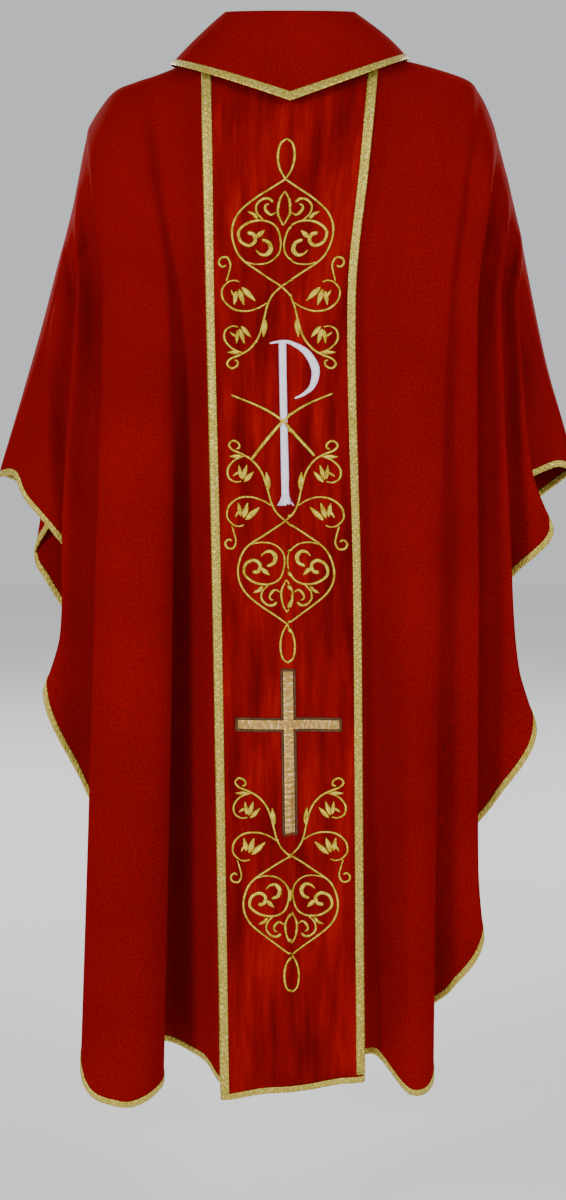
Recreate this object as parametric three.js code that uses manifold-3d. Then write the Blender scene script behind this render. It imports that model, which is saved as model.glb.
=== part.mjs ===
// A gothic chasuble as it hangs on its wearer, in millimetres, +Z up.
// The origin is midway between the shoulders, at the height where the collar meets them.
// The back of the garment faces -Y, and +X is the wearer's right.
import * as THREE from 'three';
import { mergeVertices } from 'three/addons/utils/BufferGeometryUtils.js';
import Module from 'manifold-3d';

const wasm = await Module();
wasm.setup();

// Cloth and trim thicknesses, and the clearance between layers that touch.
const GAP = 0.3;
const CLOTH = 1.2;
const ORPHREY_CLOTH = 0.8;
const INTERLINING = 0.4;
const BRAID = 0.9;
const BINDING = 0.5;
const BINDING_WIDTH = 7;
const SATIN_STITCH = 0.9;
const FACING = 0.8;
const TAPE_HALF_WIDTH = 6;

// The body that the cloth falls over.
const NECK_HALF_WIDTH = 76;
const NECK_HALF_DEPTH = 62;
const NECK_SIDE_HEIGHT = 26;
const NECK_BACK_HEIGHT = 8;
const NECK_FRONT_HEIGHT = -14;
const SHOULDER_CAP = 135; // height over which the cloth turns down beside the neck
const WRIST_CAP = 40; // the same over the arm, at the sleeve's end
const SHOULDER_DEPTH = 132; // half-depth that the turned-down cloth reaches beside the neck
const WRIST_DEPTH = 26;
const CAP_SHARE = 0.2; // share of each fall line's rows that lie on the cap

// Overall drop of the cloth: multiplies every hem height below the chest line.
const LENGTH = 1275;
const DRAWN_LENGTH = 1275; // the length that the fall lines below are written for
const HALF_WIDTH = 365;
const DRAWN_HALF_WIDTH = 365;
const CHEST = -280;

// The orphrey, its braid and the embroidery.
const ORPHREY_WIDTH = 177;
const DRAWN_ORPHREY_WIDTH = 177; // the width that the embroidery below is drawn for
const ORPHREY_BELOW_HEM = 27;
const BRAID_WIDTH = 9.5;

// The collar.
const ROLL_HALF_WIDTH = 80;
const ROLL_HALF_DEPTH = 68;
const ROLL_HEIGHT = 66;
const FALL_HALF_WIDTH = 147;
const FALL_BACK_DEPTH = 134;
const FALL_FRONT_DEPTH = 140;
const FALL_SIDE_CLEARANCE = 5.2; // its lower edge floats this far above the shoulder at the sides
const FALL_BACK_POINT = -46;
const FALL_FRONT_POINT = -62;
const COLLAR_CLOTH = 1.0;
const COLLAR_BRAID_WIDTH = 9;

// The line over shoulder and arm from the neck to the sleeve's end: outward distance, height.
const LEFT_RIDGE = [[150, -6], [219, -33], [246, -70], [266, -157], [301, -287], [340, -417], [365, -496]];
const RIGHT_RIDGE = [[153, 3], [216, -15], [243, -50], [262, -108], [286, -200], [314, -335], [360, -494]];

// Fall lines from the centre outwards. Each is the edge or the hidden turn of a fold:
// the place on the ridge where it starts, from 0 at the neck to 1 at the sleeve's end, and
// the points that it passes: outward distance, depth behind the ridge, height. The last is the hem.
// frontShift says how far the front's hem lies outwards and upwards from the back's.
const LEFT_FOLDS = [
  { at: 0.05, path: [[99, 154, -280], [93, 158, -640], [85, 160, -1256]] },
  { at: 0.1, path: [[118, 140, -280], [117, 134, -640], [112, 124, -1238]] },
  { at: 0.15, path: [[142, 136, -280], [150, 112, -640], [168, 100, -1208]] },
  { at: 0.19, path: [[146, 152, -280], [145, 158, -640], [160, 164, -1258]] },
  { at: 0.24, path: [[186, 164, -280], [190, 178, -640], [212, 190, -1275]] },
  { at: 0.31, path: [[224, 146, -280], [237, 152, -640], [261, 162, -1230]] },
  { at: 0.34, path: [[212, 116, -280], [212, 112, -640], [205, 116, -1010]] },
  { at: 0.38, path: [[236, 104, -280], [250, 104, -540], [256, 112, -890]] },
  { at: 0.43, path: [[259, 106, -280], [279, 104, -540], [285, 104, -700], [306, 110, -772]] },
  { at: 0.48, path: [[246, 80, -280], [254, 78, -500], [260, 78, -715]], frontShift: [0, -40] },
  { at: 0.525, path: [[262, 74, -285], [276, 72, -450], [272, 70, -612]], frontShift: [42, -48] },
  { at: 0.57, path: [[285, 74, -290], [300, 76, -440], [296, 74, -570]], frontShift: [36, -50] },
  { at: 0.72, path: [[312, 50, -390], [331, 48, -532]], frontShift: [-24, -35] },
  { at: 0.86, path: [[338, 30, -440], [346, 32, -505]], frontShift: [-16, -25] },
  { at: 1.0, path: [[366, 12, -508]] },
];
const RIGHT_FOLDS = [
  { at: 0.05, path: [[77, 154, -280], [85, 158, -640], [92, 160, -1216]] },
  { at: 0.1, path: [[98, 148, -280], [104, 146, -640], [112, 140, -1228]] },
  { at: 0.16, path: [[142, 164, -280], [142, 176, -640], [150, 182, -1262]] },
  { at: 0.23, path: [[187, 158, -280], [179, 164, -640], [179, 168, -1250]] },
  { at: 0.26, path: [[191, 148, -280], [184, 142, -640], [168, 134, -1180]] },
  { at: 0.29, path: [[204, 146, -280], [206, 142, -640], [204, 136, -1140]] },
  { at: 0.33, path: [[226, 136, -280], [231, 136, -640], [234, 140, -980], [242, 140, -1075]] },
  { at: 0.36, path: [[214, 108, -280], [212, 104, -640], [206, 104, -985]] },
  { at: 0.4, path: [[236, 104, -280], [246, 102, -600], [258, 108, -905]] },
  { at: 0.44, path: [[256, 104, -280], [273, 102, -600], [284, 104, -740], [307, 108, -816]] },
  { at: 0.47, path: [[246, 78, -280], [256, 76, -500], [260, 78, -738]], frontShift: [-10, -30] },
  { at: 0.51, path: [[262, 74, -282], [274, 72, -500], [272, 66, -640]], frontShift: [-20, -40] },
  { at: 0.54, path: [[278, 80, -284], [300, 78, -500], [327, 82, -572]], frontShift: [-45, -50] },
  { at: 0.6, path: [[276, 50, -300], [288, 48, -440], [290, 48, -520]], frontShift: [-10, -55] },
  { at: 0.78, path: [[318, 42, -400], [328, 42, -494]], frontShift: [-4, -45] },
  { at: 0.9, path: [[344, 26, -450], [350, 28, -496]], frontShift: [0, -20] },
  { at: 1.0, path: [[361, 12, -506]] },
];
// The middle line of back and front leans a little to the wearer's right as it falls.
const MIDDLE = [[-11, -280], [-4, -640], [4, -1240]];

// Fall lines under each half of the orphrey start on the neck edge, at these angles round it.
const NECK_ANGLES = [Math.PI / 3, Math.PI / 9];
const ORPHREY_SPANS = NECK_ANGLES.length + 1;

const clamp = (x) => Math.min(1, Math.max(0, x));
const smooth = (x) => clamp(x) ** 2 * (3 - 2 * clamp(x));
const mix = THREE.MathUtils.lerp;

// A smooth line through points of any dimension, spaced by the rising numbers in places.
function through(points, places, where) {
  let i = 0;
  while (i < places.length - 2 && where > places[i + 1]) i += 1;
  const span = places[i + 1] - places[i];
  const f = (where - places[i]) / span;
  const slope = (k, axis) => {
    const a = Math.max(0, k - 1);
    const b = Math.min(places.length - 1, k + 1);
    return (points[b][axis] - points[a][axis]) / (places[b] - places[a]) * span;
  };
  return points[i].map((p, axis) => {
    const q = points[i + 1][axis];
    if (f > 1) return q + slope(i + 1, axis) * (f - 1);
    const m = slope(i, axis);
    const n = slope(i + 1, axis);
    return p + f * (m + f * (3 * (q - p) - 2 * m - n + f * (2 * (p - q) + m + n)));
  });
}

function chordPlaces(points) {
  const places = [0];
  for (let i = 1; i < points.length; i += 1) {
    places.push(places[i - 1] + Math.hypot(...points[i].map((v, k) => v - points[i - 1][k])));
  }
  return places;
}

const stretchHeight = (z) => (z < CHEST ? CHEST + (z - CHEST) * (LENGTH + CHEST) / (DRAWN_LENGTH + CHEST) : z);
const stretchWidth = (x) => x * HALF_WIDTH / DRAWN_HALF_WIDTH;

// One fall line of the back (face -1) or front (face 1) as a function of its share, 0 to 1.
function fallLine(face, side, fold, ridge, neckAngle) {
  let top;
  if (neckAngle === null) {
    const line = [[NECK_HALF_WIDTH, NECK_SIDE_HEIGHT], ...ridge.map(([x, z]) => [stretchWidth(x), z])];
    const places = chordPlaces(line);
    const [x, z] = through(line, places, fold.at * places[places.length - 1]);
    top = [x, GAP / 2, z];
  } else {
    const low = face < 0 ? NECK_BACK_HEIGHT : NECK_FRONT_HEIGHT;
    const depth = GAP / 2 + NECK_HALF_DEPTH * Math.sin(neckAngle);
    top = [NECK_HALF_WIDTH * Math.cos(neckAngle), depth, mix(NECK_SIDE_HEIGHT, low, Math.sin(neckAngle))];
  }
  const path = fold.path.map(([x, y, z], i) => {
    const atHem = face > 0 && i === fold.path.length - 1;
    const [outwards, upwards] = (atHem && fold.frontShift) || [0, 0];
    return [stretchWidth(x + outwards), y, stretchHeight(z + upwards)];
  });
  const out = smooth(fold.at);
  const capHeight = Math.min(mix(SHOULDER_CAP, WRIST_CAP, out), 0.7 * (top[2] - path[0][2]));
  const capDepth = Math.max(Math.min(mix(SHOULDER_DEPTH, WRIST_DEPTH, out), path[0][1] * 0.9), top[1] + 4);
  const capFoot = top[2] - capHeight;
  const capX = mix(top[0], path[0][0], capHeight / (top[2] - path[0][2]));
  const line = [[capX, capDepth, capFoot], ...path];
  const places = chordPlaces(line);
  const length = places[places.length - 1];
  return (share) => {
    const turn = share / CAP_SHARE * Math.PI / 2;
    const point = share < CAP_SHARE
      ? [mix(top[0], capX, 1 - Math.cos(turn)), mix(top[1], capDepth, Math.sin(turn)),
        top[2] - capHeight * (1 - Math.cos(turn))]
      : through(line, places, (share - CAP_SHARE) / (1 - CAP_SHARE) * length);
    return [side * point[0], face * point[1], point[2]];
  };
}

// All fall lines of one face, from the left sleeve over the middle to the right sleeve.
function fallLines(face) {
  const half = (side, folds, ridge) => {
    const lean = MIDDLE.map(([x, z]) => [x * side, z]);
    const nearMiddle = (share) => folds[0].path.map(([x, y, z], i) => [
      mix(lean[i][0], x, share), y + (1 - share) * 4, z]);
    const inner = NECK_ANGLES.map((angle, i) => {
      const path = nearMiddle((i + 1) / ORPHREY_SPANS);
      return fallLine(face, side, { at: 0, path }, ridge, angle);
    });
    return [...inner, ...folds.map((fold) => fallLine(face, side, fold, ridge, null))];
  };
  const left = half(-1, LEFT_FOLDS, LEFT_RIDGE);
  const right = half(1, RIGHT_FOLDS, RIGHT_RIDGE);
  const hem = (LEFT_FOLDS[0].path[2][2] + RIGHT_FOLDS[0].path[2][2]) / 2;
  const middlePath = MIDDLE.map(([x, z], i) => [x, [158, 162, 164][i], i === 2 ? hem : z]);
  const middle = fallLine(face, 1, { at: 0, path: middlePath }, RIGHT_RIDGE, Math.PI / 2);
  return [...left.reverse(), middle, ...right];
}

const FALLS = { '-1': fallLines(-1), 1: fallLines(1) };
const MIDDLE_INDEX = LEFT_FOLDS.length + NECK_ANGLES.length;
const LAST_INDEX = FALLS[1].length - 1;

// The cloth's middle surface: u counts fall lines, share runs from the top edge to the hem.
function surface(face, u, share) {
  const lines = FALLS[face];
  const first = Math.min(Math.max(Math.floor(u) - 1, 0), LAST_INDEX - 3);
  const near = [0, 1, 2, 3].map((k) => lines[first + k](share));
  const [x, y, z] = through(near, [0, 1, 2, 3], u - first);
  return [x, face * Math.max(face * y, GAP / 2), z];
}

const vec = (p) => new THREE.Vector3(...p);

// A point lifted off the cloth's middle surface, outwards from the wearer.
function lifted(face, u, share, lift) {
  const du = 0.02;
  const ds = 0.004;
  const u0 = Math.max(0, u - du);
  const u1 = Math.min(LAST_INDEX, u + du);
  const s0 = Math.max(0, share - ds);
  const across = vec(surface(face, u1, share)).sub(vec(surface(face, u0, share)));
  const down = vec(surface(face, u, share + ds)).sub(vec(surface(face, u, s0)));
  const normal = down.cross(across).multiplyScalar(-face);
  const point = vec(surface(face, u, share));
  if (Math.abs(point.y) < GAP) normal.y = 0;
  return point.addScaledVector(normal.normalize(), lift);
}

// A closed body from a grid of closed sections: grid[i][j] is point j of section i.
function sweep(grid, closed = false) {
  const rows = grid.length;
  const n = grid[0].length;
  const index = [];
  for (let i = 0; i < (closed ? rows : rows - 1); i += 1) {
    for (let j = 0; j < n; j += 1) {
      const a = i * n + j;
      const b = i * n + (j + 1) % n;
      const c = ((i + 1) % rows) * n + j;
      const d = ((i + 1) % rows) * n + (j + 1) % n;
      const fallsAway = grid[i][j].z > grid[i][(j + 1) % n].z; // stacked layers split quads alike
      index.push(...(fallsAway ? [a, c, b, b, c, d] : [a, c, d, a, d, b]));
    }
  }
  if (!closed) {
    for (const i of [0, rows - 1]) {
      for (let j = 0; j < n / 2 - 1; j += 1) {
        const [a, b, c, d] = [j, j + 1, n - 2 - j, n - 1 - j].map((k) => i * n + k);
        index.push(...(i === 0 ? [a, b, d, b, c, d] : [a, d, b, b, d, c]));
      }
    }
  }
  const geometry = new THREE.BufferGeometry();
  const points = grid.flat().flatMap((p) => p.toArray());
  geometry.setAttribute('position', new THREE.Float32BufferAttribute(points, 3));
  geometry.setIndex(index);
  return outward(geometry);
}

function signedVolume(geometry) {
  const p = geometry.getAttribute('position');
  const at = (i) => new THREE.Vector3().fromBufferAttribute(p, geometry.index.getX(i));
  let sum = 0;
  for (let i = 0; i < geometry.index.count; i += 3) sum += at(i).dot(at(i + 1).cross(at(i + 2)));
  return sum;
}

// The same body with every face pointing out.
function outward(geometry) {
  if (signedVolume(geometry) < 0) {
    const index = [...geometry.index.array];
    for (let i = 0; i < index.length; i += 3) [index[i], index[i + 1]] = [index[i + 1], index[i]];
    geometry.setIndex(index);
  }
  geometry.computeVertexNormals();
  return geometry;
}

const steps = (a, b, n) => Array.from({ length: n + 1 }, (_, i) => mix(a, b, i / n));

// A layer of cloth between two lifts, over the fall lines us and the shares that each has.
function layer(face, us, shares, low, high) {
  return sweep(us.map((u) => {
    const run = shares(face, u);
    const top = run.map((share) => lifted(face, u, share, high));
    const under = run.map((share) => lifted(face, u, share, low)).reverse();
    return [...top, ...under];
  }));
}

// A strip of binding folded round the hem from fall line u0 to u1, in steps.
function foldedBinding(face, us, lift, half, endShare) {
  return sweep(us.map((u) => {
    const end = endShare(face, u);
    const legs = 1 - bindingShare(face, u);
    const past = (GAP + BINDING) / fallLength(face, u);
    const turn = 1.5 * GAP / fallLength(face, u);
    const outer = half + GAP + BINDING;
    const inner = half + GAP;
    return [
      lifted(face, u, end - legs, lift + outer), lifted(face, u, end + past * 0.6, lift + outer),
      lifted(face, u, end + past, lift + outer * 0.5), lifted(face, u, end + past, lift - outer * 0.5),
      lifted(face, u, end + past * 0.6, lift - outer), lifted(face, u, end - legs, lift - outer),
      lifted(face, u, end - legs, lift - inner), lifted(face, u, end, lift - inner),
      lifted(face, u, end + turn, lift - inner * 0.8), lifted(face, u, end + turn, lift + inner * 0.8),
      lifted(face, u, end, lift + inner), lifted(face, u, end - legs, lift + inner),
    ];
  }));
}

const finish = {
  red_cloth: new THREE.MeshStandardMaterial({ color: 0x8c0505, roughness: 0.85 }),
  red_satin: new THREE.MeshStandardMaterial({ color: 0xa00404, roughness: 0.5 }),
  gold_braid: new THREE.MeshStandardMaterial({ color: 0xcdbe5f, roughness: 0.4, metalness: 0.7 }),
  gold_thread: new THREE.MeshStandardMaterial({ color: 0xd7b432, roughness: 0.35, metalness: 0.7 }),
  silver_thread: new THREE.MeshStandardMaterial({ color: 0xd7d2f0, roughness: 0.35, metalness: 0.4 }),
  brown_thread: new THREE.MeshStandardMaterial({ color: 0x503010, roughness: 0.6 }),
  interlining: new THREE.MeshStandardMaterial({ color: 0xe0dccb, roughness: 0.9 }),
};

const group = new THREE.Group();

function add(name, geometry, material) {
  const mesh = new THREE.Mesh(geometry, finish[material]);
  mesh.name = name;
  group.add(mesh);
}

const FACES = [['back', -1], ['front', 1]];
const SPAN_STEPS = 2; // columns of facets between two fall lines

// The length of cloth along a fall line near the hem, as if the whole line ran like that.
const fallLength = (face, u) => vec(surface(face, u, 1)).distanceTo(vec(surface(face, u, 0.9))) * 10;
const bindingShare = (face, u) => 1 - Math.min(BINDING_WIDTH / fallLength(face, u), 0.5);

// Rows down a fall line, which all layers share: over the cap, down to the binding, and the hem.
const rows = (face, u) => [
  ...steps(0, CAP_SHARE, 4), ...steps(CAP_SHARE, bindingShare(face, u), 5).slice(1), 1];
// Columns of facets, which all layers share too: one runs along the inner edge of each braid.
const BRAID_SPAN = BRAID_WIDTH / (ORPHREY_WIDTH / 2) * ORPHREY_SPANS;
const COLUMNS = steps(0, LAST_INDEX, LAST_INDEX * SPAN_STEPS).map((u) => {
  const out = u - MIDDLE_INDEX;
  const nearEdge = Math.abs(Math.abs(out) - (ORPHREY_SPANS - 1 / SPAN_STEPS)) < 0.1;
  return nearEdge ? MIDDLE_INDEX + Math.sign(out) * (ORPHREY_SPANS - BRAID_SPAN) : u;
});
const spans = (from, to) => COLUMNS.filter((u) => u > from - 0.01 && u < to + 0.01);

// The panels: back and front are each cut in one piece.
function addPanels() {
  for (const [name, face] of FACES) {
    add(`${name}_panel`, layer(face, spans(0, LAST_INDEX), rows, -CLOTH / 2, CLOTH / 2), 'red_cloth');
  }
}

addPanels();

// Hem bindings run from the orphrey's edge to the sleeve's end on each side.
function addHemBindings() {
  const inner = ORPHREY_SPANS + 0.02;
  for (const [name, face] of FACES) {
    const left = [...spans(0, MIDDLE_INDEX - ORPHREY_SPANS).slice(0, -1), MIDDLE_INDEX - inner];
    const right = [MIDDLE_INDEX + inner, ...spans(MIDDLE_INDEX + ORPHREY_SPANS, LAST_INDEX).slice(1)];
    add(`${name}_hem_binding_left`, foldedBinding(face, left, 0, CLOTH / 2, () => 1), 'gold_braid');
    add(`${name}_hem_binding_right`, foldedBinding(face, right, 0, CLOTH / 2, () => 1), 'gold_braid');
  }
}

addHemBindings();

const INTERLINING_LIFT = CLOTH / 2 + GAP;
const ORPHREY_LIFT = INTERLINING_LIFT + INTERLINING + GAP;
const TRIM_LIFT = ORPHREY_LIFT + ORPHREY_CLOTH + GAP;

function addOrphreys() {
  const bindingTop = (face, u) => end(face, u) - (BINDING_WIDTH + 2 * GAP) / fallLength(face, u);
  const end = (face, u) => 1 + ORPHREY_BELOW_HEM / fallLength(face, u);
  for (const [name, face] of FACES) {
    const wide = spans(MIDDLE_INDEX - ORPHREY_SPANS, MIDDLE_INDEX + ORPHREY_SPANS);
    add(`${name}_orphrey`, layer(face, wide, (f, u) => [...rows(f, u).slice(1), end(f, u)],
      ORPHREY_LIFT, ORPHREY_LIFT + ORPHREY_CLOTH), 'red_satin');
    const inner = wide.slice(1, -1);
    add(`${name}_orphrey_interlining`, layer(face, inner, (f, u) => rows(f, u).slice(1, -1),
      INTERLINING_LIFT, INTERLINING_LIFT + INTERLINING), 'interlining');
    for (const [hand, sign] of [['left', -1], ['right', 1]]) {
      const strip = [ORPHREY_SPANS - BRAID_SPAN, ORPHREY_SPANS]
        .map((span) => MIDDLE_INDEX + sign * span).sort((a, b) => a - b);
      add(`${name}_orphrey_braid_${hand}`, layer(face, strip, (f, u) => [...rows(f, u).slice(1), bindingTop(f, u)],
        TRIM_LIFT, TRIM_LIFT + BRAID), 'gold_braid');
    }
    add(`${name}_orphrey_hem_binding`, foldedBinding(face, wide, ORPHREY_LIFT + ORPHREY_CLOTH / 2,
      ORPHREY_CLOTH / 2, end), 'gold_braid');
  }
}

addOrphreys();

// Embroidery. Its shapes are drawn flat: across from the orphrey's middle, and height.
const UPPER_SCROLL = -265; // heights of the three crossings below each ogive
const MIDDLE_SCROLL = -546;
const LOWER_SCROLL = -961;
const THREAD_WIDTH = 3;
const THREAD_RISE = 0.9; // stitches stand this much higher than flat trim, over their padding
const MONOGRAM_CROSSING = -425;
const CROSS_TOP = -730;
const CROSS_FOOT = -933;
const CROSS_ARM = -797;
const CROSS_HALF_SPAN = 62;
const CROSS_FIELD_WIDTH = 12;
const CROSS_BORDER = 3;

// One scroll thread, from the loop over both crossings to the end of its stem.
const SCROLL_THREAD = [[0, 173], [9, 154], [0, 126], [-32, 104], [-55, 80], [-58, 58], [-47, 34], [-22, 14],
  [0, 0], [15, -20], [21, -42], [32, -68], [48, -80], [64, -87]];
const RHO_STEM = [[1, 92, 8], [1, 0, 8], [1, -94, 9], [1, -102, 19]];
const RHO_BOWL = [[-14, 93, 2], [10, 93, 8], [30, 80, 11], [40, 58, 12], [31, 38, 8], [15, 27, 2]];
const CHI_STROKES = [
  [[-62, 31, 2], [-24, 16, 3], [0, 0, 5], [18, -20, 6], [38, -40, 3]],
  [[62, 33, 2], [26, 18, 3], [0, 0, 5], [-18, -20, 6], [-35, -43, 3]],
];

// The facets of the orphrey's outer face, and a point lifted off them.
const ORPHREY_COLUMNS = spans(MIDDLE_INDEX - ORPHREY_SPANS, MIDDLE_INDEX + ORPHREY_SPANS);
const ORPHREY_NET = Object.fromEntries(FACES.map(([, face]) => [face, ORPHREY_COLUMNS.map((u) => (
  rows(face, u).slice(1).map((share) => [0, 1].map((lift) => lifted(face, u, share, TRIM_LIFT + THREAD_RISE + lift)))))]));

function onOrphrey(face, across, height, lift) {
  const net = ORPHREY_NET[face];
  const u = MIDDLE_INDEX + ORPHREY_SPANS * across / (DRAWN_ORPHREY_WIDTH / 2);
  let i = 0;
  while (i < ORPHREY_COLUMNS.length - 2 && u > ORPHREY_COLUMNS[i + 1]) i += 1;
  const p = (u - ORPHREY_COLUMNS[i]) / (ORPHREY_COLUMNS[i + 1] - ORPHREY_COLUMNS[i]);
  const heightAt = (j) => mix(net[i][j][0].z, net[i + 1][j][0].z, p);
  let j = 0;
  while (j < net[i].length - 2 && height < heightAt(j + 1)) j += 1;
  const q = (heightAt(j) - height) / (heightAt(j) - heightAt(j + 1));
  const at = (a, b) => net[a][b][0].clone().lerp(net[a][b][1], lift);
  const [a, b, c, d] = [at(i, j), at(i, j + 1), at(i + 1, j), at(i + 1, j + 1)];
  const corner = p + q < 1 ? a : d;
  const [sideways, downwards] = p + q < 1 ? [c.sub(a), b.sub(a)] : [b.sub(d), c.sub(d)];
  const [f, g] = p + q < 1 ? [p, q] : [1 - p, 1 - q];
  return corner.clone().addScaledVector(sideways, f).addScaledVector(downwards, g);
}

// A flat stroke through [across, height, width] points, a satin stitch thick.
function stroke(points, count) {
  const curve = new THREE.CatmullRomCurve3(points.map(([x, z, w = THREAD_WIDTH]) => new THREE.Vector3(x, w, z)));
  return toSolid(sweep(steps(0, 1, count).map((f) => {
    const p = curve.getPoint(f);
    const t = curve.getTangent(f);
    const side = new THREE.Vector3(-t.z, 0, t.x).normalize().multiplyScalar(p.y / 2);
    const at = (sign, lift) => new THREE.Vector3(p.x + sign * side.x, lift, p.z + sign * side.z);
    return [at(1, 0), at(1, SATIN_STITCH), at(-1, SATIN_STITCH), at(-1, 0)];
  })));
}

function flatBox(x0, x1, z0, z1) {
  const box = new THREE.BoxGeometry(x1 - x0, SATIN_STITCH, z1 - z0);
  box.translate((x0 + x1) / 2, SATIN_STITCH / 2, (z0 + z1) / 2);
  box.deleteAttribute('normal');
  box.deleteAttribute('uv');
  return toSolid(mergeVertices(box));
}

function toSolid(geometry) {
  return new wasm.Manifold(new wasm.Mesh({
    numProp: 3,
    vertProperties: Float32Array.from(geometry.getAttribute('position').array),
    triVerts: Uint32Array.from(geometry.index.array),
  }));
}

// A flat solid laid on the orphrey of one face so that it reads from outside, moved up by height,
// upside down where turned is -1, and over some other stitches.
function laidOn(face, solid, height = 0, turned = 1, over = 0) {
  const mesh = solid.getMesh();
  const points = [];
  for (let i = 0; i < mesh.vertProperties.length; i += mesh.numProp) {
    const [x, lift, z] = mesh.vertProperties.slice(i, i + 3);
    points.push(...onOrphrey(face, -face * x, height + turned * z, over + lift).toArray());
  }
  const geometry = new THREE.BufferGeometry();
  geometry.setAttribute('position', new THREE.Float32BufferAttribute(points, 3));
  geometry.setIndex([...mesh.triVerts]);
  return outward(geometry);
}

function addEmbroidery() {
  const mirrored = SCROLL_THREAD.map(([x, z]) => [-x, z]);
  const scroll = stroke(SCROLL_THREAD, 18).add(stroke(mirrored, 18));
  const rho = stroke(RHO_STEM, 14).add(stroke(RHO_BOWL, 10));
  const chi = stroke(CHI_STROKES[0], 6).add(stroke(CHI_STROKES[1], 6));
  const half = CROSS_FIELD_WIDTH / 2;
  const cross = (grow) => flatBox(-half - grow, half + grow, CROSS_FOOT - grow, CROSS_TOP + grow)
    .add(flatBox(-CROSS_HALF_SPAN - grow, CROSS_HALF_SPAN + grow, CROSS_ARM - half - grow, CROSS_ARM + half + grow));
  const field = cross(-CROSS_BORDER / 2);
  const border = cross(CROSS_BORDER).subtract(cross(GAP - CROSS_BORDER / 2));
  for (const [name, face] of FACES) {
    add(`${name}_scroll_upper`, laidOn(face, scroll, UPPER_SCROLL, 1), 'gold_thread');
    add(`${name}_scroll_middle`, laidOn(face, scroll, MIDDLE_SCROLL, -1), 'gold_thread');
    add(`${name}_scroll_lower`, laidOn(face, scroll, LOWER_SCROLL, -1), 'gold_thread');
    add(`${name}_rho`, laidOn(face, rho, MONOGRAM_CROSSING), 'silver_thread');
    add(`${name}_chi`, laidOn(face, chi, MONOGRAM_CROSSING, 1, SATIN_STITCH + GAP), 'gold_thread');
    add(`${name}_cross_border`, laidOn(face, border.refineToLength(40)), 'brown_thread');
    add(`${name}_cross_field`, laidOn(face, field.refineToLength(40)), 'gold_thread');
  }
}

addEmbroidery();

// The height of the higher shoulder at a distance from the middle.
const shoulderHeight = (x) => Math.max(...[LEFT_RIDGE, RIGHT_RIDGE].map((ridge) => {
  const line = [[NECK_HALF_WIDTH, NECK_SIDE_HEIGHT], ...ridge.map(([a, b]) => [stretchWidth(a), b])];
  const k = line.findIndex(([a]) => a > x);
  const [p, q] = [line[k - 1], line[k]];
  return mix(p[1], q[1], (x - p[0]) / (q[0] - p[0]));
}));
const FALL_SIDE_HEIGHT = shoulderHeight(FALL_HALF_WIDTH) + FALL_SIDE_CLEARANCE;
// The collar is a ring of sections, at angles round the neck.
const FALL_LENGTH = Math.hypot(FALL_HALF_WIDTH - ROLL_HALF_WIDTH, ROLL_HEIGHT - FALL_SIDE_HEIGHT);
const RING = steps(0, 2 * Math.PI, 40).slice(0, -1);

function collarPoint(angle, share, lift) {
  const c = Math.cos(angle);
  const s = Math.sin(angle);
  const depth = s < 0 ? FALL_BACK_DEPTH : FALL_FRONT_DEPTH;
  const point = s < 0 ? FALL_BACK_POINT : FALL_FRONT_POINT;
  const roll = [ROLL_HALF_WIDTH * c, ROLL_HALF_DEPTH * s, ROLL_HEIGHT - 3 * Math.abs(s)];
  const low = mix(FALL_SIDE_HEIGHT, point, 1 - Math.abs(c));
  const foot = [FALL_HALF_WIDTH * c, depth * s, low];
  const sag = Math.sin(Math.PI * share) * 5;
  const p = roll.map((v, k) => mix(v, foot[k], share));
  const radius = 1 + (lift * 0.8 - sag) / Math.hypot(p[0], p[1]);
  return new THREE.Vector3(p[0] * radius, p[1] * radius, p[2] + lift * 0.6);
}

function collarRing(run, low, high) {
  return sweep(RING.map((angle) => {
    const top = run.map((share) => collarPoint(angle, share, high));
    return [...top, ...run.map((share) => collarPoint(angle, share, low)).reverse()];
  }), true);
}

function addCollar() {
  const under = -COLLAR_CLOTH - GAP;
  const run = [0, 0.08, 0.35, 0.65, 1 - COLLAR_BRAID_WIDTH / FALL_LENGTH, 1];
  add('collar_fall', collarRing(run, -COLLAR_CLOTH, 0), 'red_cloth');
  add('collar_interlining', collarRing(run.slice(1, -1), under - INTERLINING, under), 'interlining');
  add('collar_braid', collarRing(run.slice(-2), GAP, GAP + BRAID), 'gold_braid');
  const stand = RING.map((angle) => {
    const c = Math.cos(angle);
    const s = Math.sin(angle);
    const low = s < 0 ? NECK_BACK_HEIGHT : NECK_FRONT_HEIGHT;
    const foot = [(NECK_HALF_WIDTH - 5) * c, (NECK_HALF_DEPTH - 5) * s,
      mix(NECK_SIDE_HEIGHT, low, Math.abs(s)) + 1];
    const roll = [(ROLL_HALF_WIDTH - 3) * c, (ROLL_HALF_DEPTH - 3) * s, ROLL_HEIGHT - 3 * Math.abs(s) - 1];
    const at = (share, thick) => {
      const p = roll.map((v, k) => mix(v, foot[k], share));
      return new THREE.Vector3(p[0] - thick * c, p[1] - thick * s, p[2]);
    };
    const run = steps(0, 1, 3);
    return [...run.map((share) => at(share, 0)), ...run.map((share) => at(share, COLLAR_CLOTH)).reverse()];
  });
  add('collar_stand', sweep(stand, true), 'red_cloth');
}

addCollar();

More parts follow.
